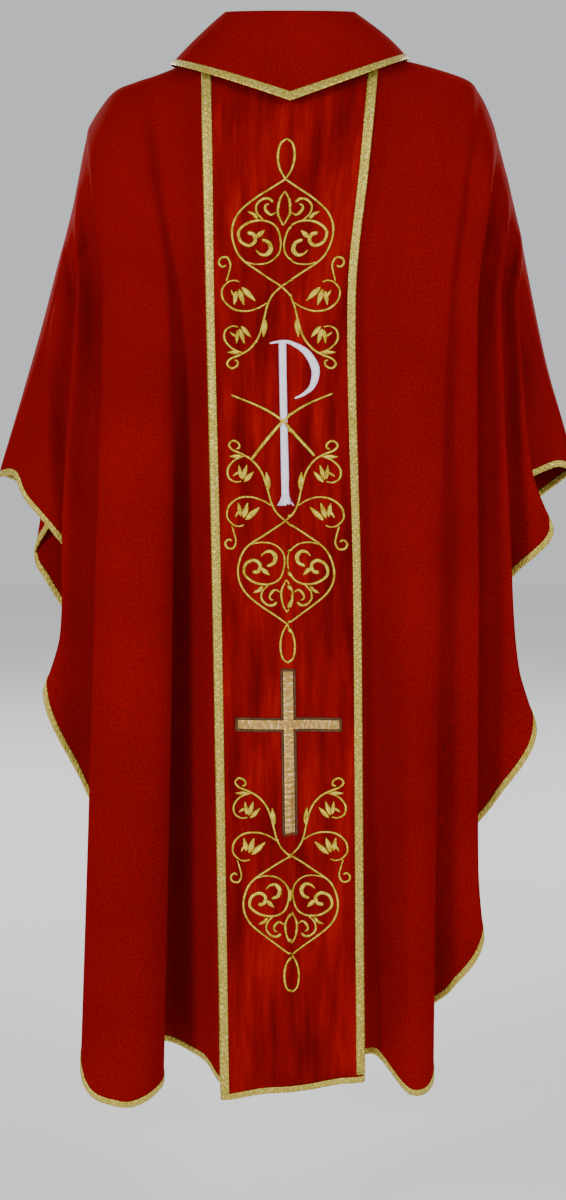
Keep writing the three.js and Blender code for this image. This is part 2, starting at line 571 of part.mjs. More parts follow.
// Narrow facings under the neck edge, and tapes under the shoulder seams.
function addInside() {
  const under = -CLOTH / 2 - GAP;
  const neck = spans(MIDDLE_INDEX - 2.5, MIDDLE_INDEX + 2.5);
  for (const [name, face] of FACES) {
    add(`${name}_neck_facing`, layer(face, neck, (f, u) => rows(f, u).slice(0, 2), under - FACING, under), 'red_cloth');
  }
  const tape = (from, to) => sweep(spans(from, to).map((u) => {
    const at = (face, lift) => {
      const [top, next] = rows(face, u).slice(0, 2).map((share) => lifted(face, u, share, lift));
      return [top, top.clone().lerp(next, TAPE_HALF_WIDTH / top.distanceTo(next))];
    };
    const [[a, b], [c, d]] = [at(-1, under), at(1, under)];
    const [[e, f], [g, h]] = [at(-1, under - INTERLINING), at(1, under - INTERLINING)];
    return [b, a, c, d, h, g, e, f];
  }));
  add('shoulder_tape_left', tape(MIDDLE_INDEX - 8, MIDDLE_INDEX - 4), 'interlining');
  add('shoulder_tape_right', tape(MIDDLE_INDEX + 4, MIDDLE_INDEX + 8), 'interlining');
}

addInside();

export default group;
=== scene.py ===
import math

import bpy
import numpy as np
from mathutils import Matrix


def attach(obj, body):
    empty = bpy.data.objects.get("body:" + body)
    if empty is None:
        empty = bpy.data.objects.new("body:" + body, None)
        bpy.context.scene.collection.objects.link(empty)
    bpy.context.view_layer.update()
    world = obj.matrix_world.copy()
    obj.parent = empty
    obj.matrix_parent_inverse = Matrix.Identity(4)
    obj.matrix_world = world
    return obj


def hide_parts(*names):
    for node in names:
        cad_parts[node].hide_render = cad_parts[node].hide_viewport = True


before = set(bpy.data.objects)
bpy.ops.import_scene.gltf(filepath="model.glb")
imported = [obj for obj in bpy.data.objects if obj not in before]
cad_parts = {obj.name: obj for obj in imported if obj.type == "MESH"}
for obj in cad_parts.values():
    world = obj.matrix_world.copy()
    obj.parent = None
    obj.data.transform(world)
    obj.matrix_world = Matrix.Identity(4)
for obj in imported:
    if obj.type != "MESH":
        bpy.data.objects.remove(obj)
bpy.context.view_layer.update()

# Every length below is in millimetres until it is put into a mesh.
MM = 0.001
CLOTH = 1.2
ORPHREY_WIDTH = 177
FOOT_LEFT, FOOT_RIGHT = -1276, -1251
BRAID_WIDTH = 9.5
BINDING_WIDTH = 7
SATIN_THICKNESS = 0.8

# Lifts are measured outwards from the middle of the panel's thickness.
CANVAS_LIFTS = (0.75, 0.95)
ORPHREY_LIFT = 1.6
THREAD_LIFT = 2.5
TRIM_LIFT = 2.7
TAPE_LIFTS = (-1.3, -0.9)
FACING_LIFTS = (-1.7, -0.9)
BINDING_OUTER, BINDING_INNER = 0.9, 0.25  # past the faces of the layer that a binding wraps

# Shares run down each fall line, from 0 on the shoulder to 1 at the hem.
SHARES = np.linspace(0, 1.5, 706)
UNDER_COLLAR = 0.05  # where orphreys and facings meet, hidden by the collar

# The body under the cloth, and the collar. The collar's sides hug the shoulders, a little
# lower than in the frame.
NECK = (76, 62)
NECK_HEIGHTS = {"side": 26, -1: 8, 1: -14}
SHOULDER_CAP, WRIST_CAP = 135, 40
SHOULDER_DEPTH, WRIST_DEPTH = 132, 26
CAP_SHARE = 0.2
FOLDS_AT_CAP = 0.8  # how much of each fold's depth is already there below the shoulder
ROLL = (80, 68, 66)
FALL_HALF_WIDTH = 147
FALL_DEPTH = {-1: 134, 1: 140}
FALL_SIDE_HEIGHTS = (1.5, 9)  # left, right
FALL_POINT = {-1: -46, 1: -62}

# The line over shoulder and arm: outward distance, height.
LEFT_RIDGE = [[150, -6], [219, -33], [246, -70], [266, -157], [301, -287], [340, -417], [365, -496]]
RIGHT_RIDGE = [[153, 3], [216, -15], [243, -50], [262, -108], [286, -200], [314, -335], [360, -494]]

# Fall lines from the middle outwards: the share of the ridge where each starts, and the points
# (outward distance, depth, height) that it passes on its way down to the hem. Near the sleeves,
# the front's hem is shifted outwards and downwards from the back's by the last pair.
LEFT_FOLDS = [
    (0.05, [[99, 154, -280], [93, 158, -640], [85, 160, -1256]]),
    (0.10, [[118, 135, -280], [117, 134, -640], [112, 124, -1234]]),
    (0.15, [[139, 132, -280], [150, 112, -640], [168, 100, -1222]]),
    (0.19, [[149, 151, -280], [145, 158, -640], [160, 164, -1258]]),
    (0.24, [[186, 164, -280], [190, 178, -640], [212, 190, -1275]]),
    (0.31, [[224, 146, -280], [237, 152, -640], [261, 162, -1230]]),
    (0.34, [[212, 116, -280], [212, 112, -640], [205, 116, -1010]]),
    (0.38, [[236, 104, -280], [250, 104, -540], [256, 112, -890]]),
    (0.43, [[259, 106, -280], [279, 104, -540], [285, 104, -700], [306, 110, -772]]),
    (0.48, [[246, 80, -280], [254, 78, -500], [260, 78, -715]], [0, -40]),
    (0.525, [[262, 74, -285], [276, 72, -450], [272, 70, -612]], [42, -48]),
    (0.57, [[285, 74, -290], [300, 76, -440], [296, 74, -570]], [36, -50]),
    (0.72, [[312, 50, -390], [331, 48, -532]], [-24, -35]),
    (0.86, [[338, 30, -440], [346, 32, -505]], [-16, -25]),
    (1.00, [[366, 12, -508]]),
]
RIGHT_FOLDS = [
    (0.05, [[77, 154, -280], [85, 158, -640], [92, 160, -1216]]),
    (0.10, [[98, 148, -280], [104, 146, -640], [112, 140, -1228]]),
    (0.16, [[142, 164, -280], [142, 176, -640], [150, 182, -1262]]),
    (0.23, [[187, 158, -280], [179, 164, -640], [179, 168, -1250]]),
    (0.26, [[191, 148, -280], [184, 142, -640], [168, 134, -1180]]),
    (0.29, [[204, 146, -280], [206, 142, -640], [204, 136, -1140]]),
    (0.33, [[226, 136, -280], [231, 136, -640], [234, 140, -980], [242, 140, -1075]]),
    (0.36, [[214, 108, -280], [212, 104, -640], [206, 104, -985]]),
    (0.40, [[236, 104, -280], [246, 102, -600], [258, 108, -905]]),
    (0.44, [[256, 104, -280], [273, 102, -600], [284, 104, -740], [307, 108, -816]]),
    (0.47, [[246, 78, -280], [256, 76, -500], [260, 78, -738]], [-10, -30]),
    (0.51, [[262, 74, -282], [274, 72, -500], [272, 66, -640]], [-20, -40]),
    (0.54, [[278, 80, -284], [300, 78, -500], [327, 82, -572]], [-45, -50]),
    (0.60, [[276, 50, -300], [288, 48, -440], [290, 48, -520]], [-10, -55]),
    (0.78, [[318, 42, -400], [328, 42, -494]], [-4, -45]),
    (0.90, [[344, 26, -450], [350, 28, -496]], [0, -20]),
    (1.00, [[361, 12, -506]]),
]
MIDDLE = [[-11, -280], [-4, -640], [4, -1240]]
NECK_ANGLES = [math.pi / 3, math.pi / 9]  # where the fall lines between middle and side start
SPANS = len(NECK_ANGLES) + 1  # fall lines from the middle to the orphrey's edge


# ---------------------------------------------------------------- camera, floor and light

CAMERA_DISTANCE = 3.21
CAMERA_HEIGHT = -0.16
CAMERA_PITCH = 9
SENSOR, LENS = 36, 76.26
FLOOR = -1.56  # the hem hangs about 0.28 m above it, as on a standing wearer


def add_camera():
    data = bpy.data.cameras.new("camera")
    data.sensor_fit = "VERTICAL"
    data.sensor_height = SENSOR
    data.lens = LENS
    data.clip_end = 50
    camera = bpy.data.objects.new("camera", data)
    camera.location = (-0.0085, -CAMERA_DISTANCE, CAMERA_HEIGHT)
    camera.rotation_euler = (math.radians(90 - CAMERA_PITCH), 0, 0)
    bpy.context.collection.objects.link(camera)
    bpy.context.scene.camera = camera


def add_light(name, place, aim, size, power, color=(1, 1, 1)):
    data = bpy.data.lights.new(name, "AREA")
    data.shape = "DISK"
    data.size = size
    data.energy = power
    data.color = color
    lamp = bpy.data.objects.new(name, data)
    lamp.location = place
    toward = np.array(aim) - np.array(place)
    yaw = math.atan2(toward[1], toward[0]) - math.pi / 2
    pitch = math.atan2(toward[2], math.hypot(toward[0], toward[1]))
    lamp.rotation_euler = (math.pi / 2 + pitch, 0, yaw)
    bpy.context.collection.objects.link(lamp)


def add_stage():
    mesh = bpy.data.meshes.new("floor")
    r = 6.0
    corners = [(-r, -r, FLOOR), (r, -r, FLOOR), (r, r, FLOOR), (-r, r, FLOOR)]
    mesh.from_pydata(corners, [], [(0, 1, 2, 3)])
    floor = bpy.data.objects.new("floor", mesh)
    bpy.context.collection.objects.link(floor)
    material = bpy.data.materials.new("pale_floor")
    material.use_nodes = True
    shader = material.node_tree.nodes["Principled BSDF"]
    shader.inputs["Base Color"].default_value = (0.86, 0.85, 0.84, 1)
    shader.inputs["Roughness"].default_value = 0.9
    mesh.materials.append(material)
    world = bpy.data.worlds.new("studio")
    world.use_nodes = True
    world.node_tree.nodes["Background"].inputs["Color"].default_value = (0.95, 0.97, 1.0, 1)
    world.node_tree.nodes["Background"].inputs["Strength"].default_value = 0.68
    bpy.context.scene.world = world
    add_light("key", (-2.5, -2.9, 0.7), (0, 0, -0.5), 0.9, 90, (1, 0.98, 0.95))
    add_light("fill", (2.5, -2.8, 1.1), (0, 0, -0.5), 0.9, 72)
    add_light("back_left", (-2.0, 3.2, 0.4), (0, 0, -0.6), 1.2, 60)
    add_light("back_right", (2.0, 3.2, 0.4), (0, 0, -0.6), 1.2, 50)


add_camera()
add_stage()


# ---------------------------------------------------------------- the hanging cloth

def mix(a, b, f):
    return a + (b - a) * f


def smooth(x):
    x = np.clip(x, 0, 1)
    return x * x * (3 - 2 * x)


def through(points, places, where):
    """A smooth line through points, spaced by the rising numbers in places, at each where."""
    points, places, where = (np.asarray(v, float) for v in (points, places, where))
    slopes = np.empty_like(points)
    slopes[0] = (points[1] - points[0]) / (places[1] - places[0])
    slopes[-1] = (points[-1] - points[-2]) / (places[-1] - places[-2])
    slopes[1:-1] = (points[2:] - points[:-2]) / (places[2:] - places[:-2])[:, None]
    i = np.clip(np.searchsorted(places, where, side="right") - 1, 0, len(places) - 2)
    span = (places[i + 1] - places[i])[:, None]
    f = (where[:, None] - places[i][:, None]) / span
    p, q, m, n = points[i], points[i + 1], slopes[i] * span, slopes[i + 1] * span
    curve = p + f * (m + f * (3 * (q - p) - 2 * m - n + f * (2 * (p - q) + m + n)))
    return np.where(f > 1, q + n * (f - 1), curve)


def chord_places(points):
    """How far along a line each of its points lies."""
    return np.concatenate([[0], np.cumsum(np.linalg.norm(np.diff(points, axis=0), axis=1))])


def fall_line(face, side, at, path, front_shift, ridge, neck_angle=None, fold_depth=0.0):
    """One fall line of the back (face -1) or the front (1), at every one of SHARES."""
    if neck_angle is None:
        line = np.array([[NECK[0], NECK_HEIGHTS["side"]], *ridge], float)
        places = chord_places(line)
        x, z = through(line, places, [at * places[-1]])[0]
        top = np.array([x, 0.01, z])
    else:
        s = math.sin(neck_angle)
        height = mix(NECK_HEIGHTS["side"], NECK_HEIGHTS[face], s)
        top = np.array([NECK[0] * math.cos(neck_angle), 0.01 + NECK[1] * s, height])
    path = np.array(path, float)
    if face > 0:
        path[-1, ::2] += front_shift
    out = smooth(at)
    cap_height = min(mix(SHOULDER_CAP, WRIST_CAP, out), 0.7 * (top[2] - path[0, 2]))
    cap_depth = max(min(mix(SHOULDER_DEPTH, WRIST_DEPTH, out), path[0, 1] * 0.9), top[1] + 4)
    cap_depth += fold_depth
    cap_x = mix(top[0], path[0, 0], cap_height / (top[2] - path[0, 2]))
    line = np.array([[cap_x, cap_depth, top[2] - cap_height], *path])
    places = chord_places(line)
    turn = np.clip(SHARES / CAP_SHARE, 0, 1) * math.pi / 2
    cap = np.stack([mix(top[0], cap_x, 1 - np.cos(turn)), mix(top[1], cap_depth, np.sin(turn)),
                    top[2] - cap_height * (1 - np.cos(turn))], axis=1)
    fall = through(line, places, (SHARES - CAP_SHARE) / (1 - CAP_SHARE) * places[-1])
    points = np.where(SHARES[:, None] < CAP_SHARE, cap, fall)
    return points * [side, face, 1]


def fall_lines(face):
    """All the fall lines of one panel, from the wearer's left sleeve edge to the right one."""
    def half(side, folds, ridge):
        first = np.array(folds[0][1], float)
        lines = []
        for k, angle in enumerate(NECK_ANGLES):
            share = (k + 1) / SPANS
            path = first.copy()
            path[:, 0] = [mix(x * side, edge, share) for (x, _), edge in zip(MIDDLE, first[:, 0])]
            path[:, 1] += (1 - share) * 4
            lines.append(fall_line(face, side, 0, path, (0, 0), ridge, angle))
        depths = np.array([path[0][1] for _, path, *_ in folds], float)
        rounded = np.convolve(np.pad(depths, 2, "edge"), [0.1, 0.25, 0.3, 0.25, 0.1], "valid")
        for (at, path, *shift), fold_depth in zip(folds, (depths - rounded) * FOLDS_AT_CAP):
            shift = shift[0] if shift else (0, 0)
            fold_depth *= smooth((0.5 - at) / 0.12)
            lines.append(fall_line(face, side, at, path, shift, ridge, fold_depth=fold_depth))
        return lines

    left, right = half(-1, LEFT_FOLDS, LEFT_RIDGE), half(1, RIGHT_FOLDS, RIGHT_RIDGE)
    hem = (LEFT_FOLDS[0][1][2][2] + RIGHT_FOLDS[0][1][2][2]) / 2
    path = [[x, y, z] for (x, z), y in zip(MIDDLE, (158, 162, 164))]
    path[2][2] = hem
    middle = fall_line(face, 1, 0, path, (0, 0), RIGHT_RIDGE, math.pi / 2)
    return np.array([*left[::-1], middle, *right])


FALLS = {face: fall_lines(face) for face in (-1, 1)}
MIDDLE_INDEX = len(LEFT_FOLDS) + len(NECK_ANGLES)
LAST_INDEX = len(FALLS[1]) - 1


def ripple(p, face):
    """How far the cloth's soft unevenness moves it outwards, and the drags from the shoulder.

    Every wave is a height in millimetres times the sine of a place over a length.
    """
    x, z = p[..., 0], p[..., 2]
    hang = smooth((-z - 60) / 300)
    side = np.sign(x) * 0.7 + face
    wave = 1.7 * np.sin(x / 17 + z / 310 + side) + 1.2 * np.sin(x / 9.5 - z / 240 + 2.1 * side)
    swell = 2.2 * np.sin(z / 118 + x / 74 + side * 1.3)
    drag = 1.3 * np.sin((x - 0.34 * z * np.sign(x)) / 13 + face) * smooth((np.abs(x) - 110) / 90)
    dragged = smooth((-z - 30) / 90) * drag * (1 - smooth((-z - 420) / 300))
    return hang * (wave + 0.7 * swell) + dragged


def cloth(face, u, share):
    """Points of the cloth's middle surface: u counts fall lines, share runs from top to hem."""
    u, share = np.broadcast_arrays(np.asarray(u, float), np.asarray(share, float))
    lines = FALLS[face]
    i = np.clip(np.floor(u).astype(int), 0, LAST_INDEX - 1)
    f = (u - i)[..., None]
    at = np.clip(share / SHARES[-1] * (len(SHARES) - 1), 0, len(SHARES) - 1.001)
    k = at.astype(int)
    g = (at - k)[..., None]

    def line(n):
        n = np.clip(n, 0, LAST_INDEX)
        return lines[n, k] * (1 - g) + lines[n, k + 1] * g

    a, p, q, b = line(i - 1), line(i), line(i + 1), line(i + 2)
    m = np.where((i > 0)[..., None], (q - a) / 2, q - p)
    n = np.where((i < LAST_INDEX - 1)[..., None], (b - p) / 2, q - p)
    point = p + f * (m + f * (3 * (q - p) - 2 * m - n + f * (2 * (p - q) + m + n)))
    point[..., 1] = face * np.maximum(face * point[..., 1], 0.01)
    near_top = smooth(share / 0.25) * smooth(np.minimum(u, LAST_INDEX - u) / 2)
    point[..., 1] += face * ripple(point, face) * near_top
    return point


def lifted(face, u, share, lift):
    """Points lifted off the cloth, outwards from the wearer, and the normals there."""
    u, share = np.broadcast_arrays(np.asarray(u, float), np.asarray(share, float))
    low, high = np.clip(u - 0.02, 0, LAST_INDEX), np.clip(u + 0.02, 0, LAST_INDEX)
    across = cloth(face, high, share) - cloth(face, low, share)
    middle = np.clip(share, 0.004, SHARES[-1] - 0.01)
    down = cloth(face, u, middle + 0.004) - cloth(face, u, middle - 0.004)
    normal = np.cross(down, across) * -face
    point = cloth(face, u, share)
    seam = np.abs(point[..., 1]) < 0.3
    normal[..., 1] = np.where(seam, 0, normal[..., 1])
    normal /= np.linalg.norm(normal, axis=-1, keepdims=True)
    return point + normal * np.asarray(lift)[..., None], normal


def fall_length(face, u):
    """Millimetres to one whole share, measured near the hem."""
    return np.linalg.norm(cloth(face, u, 1.0) - cloth(face, u, 0.9), axis=-1) * 10


# ---------------------------------------------------------------- meshes

def grid_faces(rows, columns, wrap_rows=False, wrap_columns=False):
    """Quads between the points of a grid, joined round its ends where it wraps."""
    i = np.arange(rows if wrap_rows else rows - 1)[:, None]
    j = np.arange(columns if wrap_columns else columns - 1)[None, :]
    a, b = i * columns + j, i * columns + (j + 1) % columns
    up = ((i + 1) % rows) * columns
    return np.stack([a, up + j, up + (j + 1) % columns, b], axis=-1).reshape(-1, 4)


def end_caps(rows, n):
    """Quads that close the first and the last of some sections of n points each."""
    caps = []
    for i in (0, rows - 1):
        for j in range(n // 2 - 1):
            quad = [i * n + k for k in (j, j + 1, n - 2 - j, n - 1 - j)]
            caps.append(quad if i == 0 else quad[::-1])
    return np.array(caps)


def make_object(name, points, faces, uvs, material):
    """A smooth-shaded mesh in metres, with one UV map whose numbers are metres of cloth."""
    mesh = bpy.data.meshes.new(name)
    mesh.from_pydata((points.reshape(-1, 3) * MM).tolist(), [], faces.tolist())
    layer = mesh.uv_layers.new(name="cloth")
    loops = np.zeros(len(mesh.loops), np.int32)
    mesh.loops.foreach_get("vertex_index", loops)
    layer.data.foreach_set("uv", (uvs.reshape(-1, 2)[loops] * MM).ravel())
    mesh.polygons.foreach_set("use_smooth", [True] * len(mesh.polygons))
    mesh.materials.append(material)
    mesh.validate()
    piece = bpy.data.objects.new(name, mesh)
    bpy.context.collection.objects.link(piece)
    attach(piece, "root")
    return piece


def swept(name, sections, uvs, material, closed=False):
    """A closed body through closed sections: sections[i][j] is point j of section i, and
    point j lies opposite to the one that is j from the section's end."""
    rows, n = sections.shape[:2]
    faces = grid_faces(rows, n, closed, True)
    if not closed:
        faces = np.concatenate([faces, end_caps(rows, n)])
    points = sections.reshape(-1, 3)
    p = points[faces]
    inside_out = np.einsum("ij,ij->", p[:, 0], np.cross(p[:, 1], p[:, 2])
                           + np.cross(p[:, 2], p[:, 3])) < 0
    if inside_out:
        faces = faces[:, ::-1]
    return make_object(name, points, faces, uvs, material)


def layer_sections(face, us, shares, low, high):
    """Sections of a layer between two lifts; shares is one list or a list for each of us."""
    us = np.asarray(us, float)
    shares = np.broadcast_to(shares, (len(us), np.shape(shares)[-1]))
    top, _ = lifted(face, us[:, None], shares, high)
    under, _ = lifted(face, us[:, None], shares, low)
    along = np.cumsum(np.linalg.norm(np.diff(top, axis=1, prepend=top[:, :1]), axis=-1), axis=1)
    middle = top.shape[1] // 2
    step = np.linalg.norm(np.diff(top[:, middle], axis=0, prepend=top[:1, middle]), axis=-1)
    across = np.broadcast_to(np.cumsum(step)[:, None], along.shape)
    uv = np.stack([across, along], axis=-1)
    return np.concatenate([top, under[:, ::-1]], axis=1), np.concatenate([uv, uv[:, ::-1]], axis=1)


# ---------------------------------------------------------------- materials

class Nodes:
    """A small helper that writes a procedural material as a chain of nodes."""

    def __init__(self, name):
        self.material = bpy.data.materials.new(name)
        self.material.use_nodes = True
        self.tree = self.material.node_tree
        self.shader = self.tree.nodes["Principled BSDF"]
        self.uv = self.tree.nodes.new("ShaderNodeUVMap")
        self.uv.uv_map = "cloth"
        self.place = self.tree.nodes.new("ShaderNodeTexCoord")

    def put(self, socket, value):
        if hasattr(value, "is_output"):
            self.tree.links.new(value, socket)
        else:
            socket.default_value = value

    def math(self, operation, a, b=0.0, clamp=False):
        node = self.tree.nodes.new("ShaderNodeMath")
        node.operation = operation
        node.use_clamp = clamp
        self.put(node.inputs[0], a)
        self.put(node.inputs[1], b)
        return node.outputs[0]

    def scaled(self, vector, scale, turn=0.0):
        node = self.tree.nodes.new("ShaderNodeMapping")
        self.put(node.inputs["Vector"], vector)
        node.inputs["Scale"].default_value = scale
        node.inputs["Rotation"].default_value = (0, 0, turn)
        return node.outputs[0]

    def noise(self, vector, scale, detail=2.0, roughness=0.5):
        node = self.tree.nodes.new("ShaderNodeTexNoise")
        self.put(node.inputs["Vector"], vector)
        node.inputs["Scale"].default_value = scale
        node.inputs["Detail"].default_value = detail
        node.inputs["Roughness"].default_value = roughness
        return node.outputs["Fac"]

    def threads(self, vector, scale, direction="X", distortion=0.0):
        node = self.tree.nodes.new("ShaderNodeTexWave")
        self.put(node.inputs["Vector"], vector)
        node.bands_direction = direction
        node.wave_profile = "SIN"
        node.inputs["Scale"].default_value = scale
        node.inputs["Distortion"].default_value = distortion
        return node.outputs["Fac"]

    def cells(self, vector, scale):
        node = self.tree.nodes.new("ShaderNodeTexVoronoi")
        self.put(node.inputs["Vector"], vector)
        node.inputs["Scale"].default_value = scale
        return node.outputs["Color"], node.outputs["Distance"]

    def ramp(self, value, stops):
        node = self.tree.nodes.new("ShaderNodeValToRGB")
        self.put(node.inputs["Fac"], value)
        ramp = node.color_ramp
        while len(ramp.elements) < len(stops):
            ramp.elements.new(0.5)
        for element, (place, color) in zip(ramp.elements, stops):
            element.position = place
            element.color = (*color, 1)
        return node.outputs["Color"]

    def blend(self, factor, a, b, mode="MIX"):
        node = self.tree.nodes.new("ShaderNodeMix")
        node.data_type = "RGBA"
        node.blend_type = mode
        self.put(node.inputs[0], factor)
        for socket, value in ((node.inputs[6], a), (node.inputs[7], b)):
            self.put(socket, value if hasattr(value, "is_output") else (*value, 1))
        return node.outputs[2]

    def bump(self, height, strength, distance, normal=None):
        node = self.tree.nodes.new("ShaderNodeBump")
        self.put(node.inputs["Height"], height)
        node.inputs["Strength"].default_value = strength
        node.inputs["Distance"].default_value = distance
        if normal is not None:
            self.put(node.inputs["Normal"], normal)
        return node.outputs[0]

    def set(self, **values):
        for name, value in values.items():
            self.put(self.shader.inputs[name.replace("_", " ")], value)


def weave_height(n, pitch):
    """Plain weave: warp and weft threads pitch millimetres apart, as one height."""
    scale = 1000 / pitch / 10
    warp = n.threads(n.uv.outputs[0], scale, "X", 0.3)
    weft = n.threads(n.uv.outputs[0], scale, "Y", 0.3)
    return n.math("MULTIPLY", n.math("ADD", warp, weft), 0.5)


def red_cloth():
    n = Nodes("red_cloth_weave")
    patches = n.noise(n.place.outputs["Object"], 7, 3)
    nap = n.noise(n.uv.outputs[0], 340, 3, 0.7)
    slubs = n.noise(n.scaled(n.uv.outputs[0], (420, 34, 1)), 1, 2)
    tone = n.ramp(patches, [(0.25, (0.20, 0.0012, 0.0008)), (0.75, (0.26, 0.0018, 0.0010))])
    flecks = n.ramp(nap, [(0.3, (0.56, 0.56, 0.56)), (0.7, (1.06, 1.06, 1.06))])
    tone = n.blend(1.0, tone, flecks, "MULTIPLY")
    tone = n.blend(0.5, tone, n.ramp(slubs, [(0.3, (0.86, 0.86, 0.86)), (0.7, (1, 1, 1))]), "MULTIPLY")
    weave = n.bump(weave_height(n, 0.9), 0.35, 0.0004)
    n.set(Base_Color=tone, Roughness=0.82, Specular_IOR_Level=0.02, Specular_Tint=(1, 0.06, 0.04, 1),
          Sheen_Weight=0.06, Sheen_Roughness=0.45, Sheen_Tint=(1.0, 0.03, 0.02, 1),
          Normal=n.bump(nap, 0.1, 0.0005, weave))
    return n.material


def red_satin():
    n = Nodes("red_satin_weave")
    # Streaks of the satin: their lighter stripes are painted sheen in its colour; they also vary its
    # roughness and bumps.
    streaks = n.noise(n.scaled(n.uv.outputs[0], (60, 7, 1)), 1, 5, 0.62)
    threads = n.noise(n.scaled(n.uv.outputs[0], (900, 26, 1)), 1, 2)
    clouds = n.noise(n.scaled(n.uv.outputs[0], (15, 5, 1)), 1, 2)
    level = n.math("ADD", n.math("MULTIPLY", streaks, 0.62), n.math("MULTIPLY", clouds, 0.38))
    tone = n.ramp(level, [(0.37, (0.10, 0.0006, 0.0004)), (0.5, (0.18, 0.0012, 0.0008)),
                          (0.63, (0.285, 0.003, 0.0015))])
    tone = n.blend(0.45, tone, n.ramp(threads, [(0.3, (0.72, 0.72, 0.72)), (0.7, (1, 1, 1))]), "MULTIPLY")
    rough = n.math("ADD", n.math("MULTIPLY", streaks, 0.25), 0.36)
    fine = n.bump(threads, 0.3, 0.0003)
    n.set(Base_Color=tone, Roughness=rough, Specular_IOR_Level=0.22, Specular_Tint=(1, 0.05, 0.03, 1),
          Sheen_Weight=0.05, Sheen_Roughness=0.35, Sheen_Tint=(1, 0.04, 0.03, 1),
          Normal=n.bump(streaks, 0.25, 0.003, fine))
    return n.material


def gold_weave(name, dark, middle, bright):
    """Metallic braid: a herringbone of gold with glittering points, whose glints are painted into its
    colour.
    """
    n = Nodes(name)
    right = n.threads(n.scaled(n.uv.outputs[0], (1, 1, 1), 0.8), 62, "X")
    left = n.threads(n.scaled(n.uv.outputs[0], (1, 1, 1), -0.8), 62, "X")
    plait = n.math("MAXIMUM", right, left)
    color, distance = n.cells(n.uv.outputs[0], 900)
    # The cells are the braid's glitter; their bright stop is a painted glint of the metal.
    spark = n.ramp(color, [(0.35, dark), (0.62, middle), (0.8, bright)])
    tone = n.blend(n.math("MULTIPLY", plait, 0.4), spark, dark)
    n.set(Base_Color=tone, Metallic=0.6, Roughness=0.38, Specular_IOR_Level=0.15,
          Normal=n.bump(distance, 0.6, 0.0005, n.bump(plait, 0.7, 0.0006)))
    return n.material


def thread(name, dark, pale, glint, metallic, rough):
    """Satin stitch: fine parallel threads across each stroke, with painted glints and painted shade in
    their colour.
    """
    n = Nodes(name)
    stitches = n.threads(n.scaled(n.uv.outputs[0], (1, 1, 1), 0.5), 230, "Y", 1.0)
    # Patchy noise of painted glints and painted shade over the thread, not wear.
    glint_and_shade_noise = n.noise(n.place.outputs["Object"], 140, 2)
    split = n.tree.nodes.new("ShaderNodeSeparateXYZ")
    n.put(split.inputs[0], n.uv.outputs[0])
    # Painted shade: the colour darkens towards each stroke's edges, so that its crown looks lit.
    edge = n.math("ABSOLUTE", n.math("MULTIPLY", split.outputs[0], 1000))
    crown = n.math("SUBTRACT", 1.15, n.math("POWER", edge, 3), clamp=True)
    level = n.math("ADD", n.math("MULTIPLY", stitches, 0.35), n.math("MULTIPLY", glint_and_shade_noise, 0.75))
    tone = n.ramp(n.math("MULTIPLY", level, crown), [(0.2, dark), (0.55, pale), (0.75, glint)])
    n.set(Base_Color=tone, Metallic=metallic, Roughness=rough, Specular_IOR_Level=0.25,
          Normal=n.bump(stitches, 0.8, 0.0005))
    return n.material


def canvas():
    n = Nodes("canvas_weave")
    tone = n.ramp(n.noise(n.uv.outputs[0], 300), [(0.3, (0.55, 0.51, 0.42)), (0.7, (0.72, 0.69, 0.58))])
    n.set(Base_Color=tone, Roughness=0.92, Normal=n.bump(weave_height(n, 0.8), 0.5, 0.0005))
    return n.material


RED, SATIN, CANVAS = red_cloth(), red_satin(), canvas()
# The last colour of each gold weave is a painted glint.
BRAID = gold_weave("gold_braid_weave", (0.38, 0.27, 0.04), (0.54, 0.45, 0.07), (0.82, 0.74, 0.22))
LAME = gold_weave("gold_lame_weave", (0.42, 0.24, 0.06), (0.60, 0.39, 0.12), (0.84, 0.62, 0.27))
# Gold thread: the dark stop is painted shade and the glint stop a painted highlight on the metal.
GOLD = thread("gold_satin_stitch", (0.15, 0.055, 0.002), (0.64, 0.43, 0.02), (0.95, 0.78, 0.12),
              0.5, 0.3)
# Pale thread: the lavender dark stop is painted shade on the white stitches.
SILVER = thread("pale_satin_stitch", (0.70, 0.66, 0.90), (0.92, 0.89, 1.0), (0.98, 0.96, 1.0), 0.0, 0.45)
BROWN = thread("dark_satin_stitch", (0.035, 0.012, 0.006), (0.09, 0.03, 0.012), (0.16, 0.06, 0.02),
               0.0, 0.55)
FACES = (("back", -1), ("front", 1))


# ---------------------------------------------------------------- panels, orphreys and hems

def add_panels():
    """Both panels, even in their shares over the cap and then even down to the hem."""
    us = np.linspace(0, LAST_INDEX, LAST_INDEX * 11 + 1)
    shares = np.concatenate([np.linspace(0, CAP_SHARE, 34)[:-1], np.linspace(CAP_SHARE, 1, 120)])
    for name, face in FACES:
        sections, uvs = layer_sections(face, us, shares, -CLOTH / 2, CLOTH / 2)
        piece = swept(f"{name}_cloth", sections, uvs, RED)
        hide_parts(f"{name}_panel")


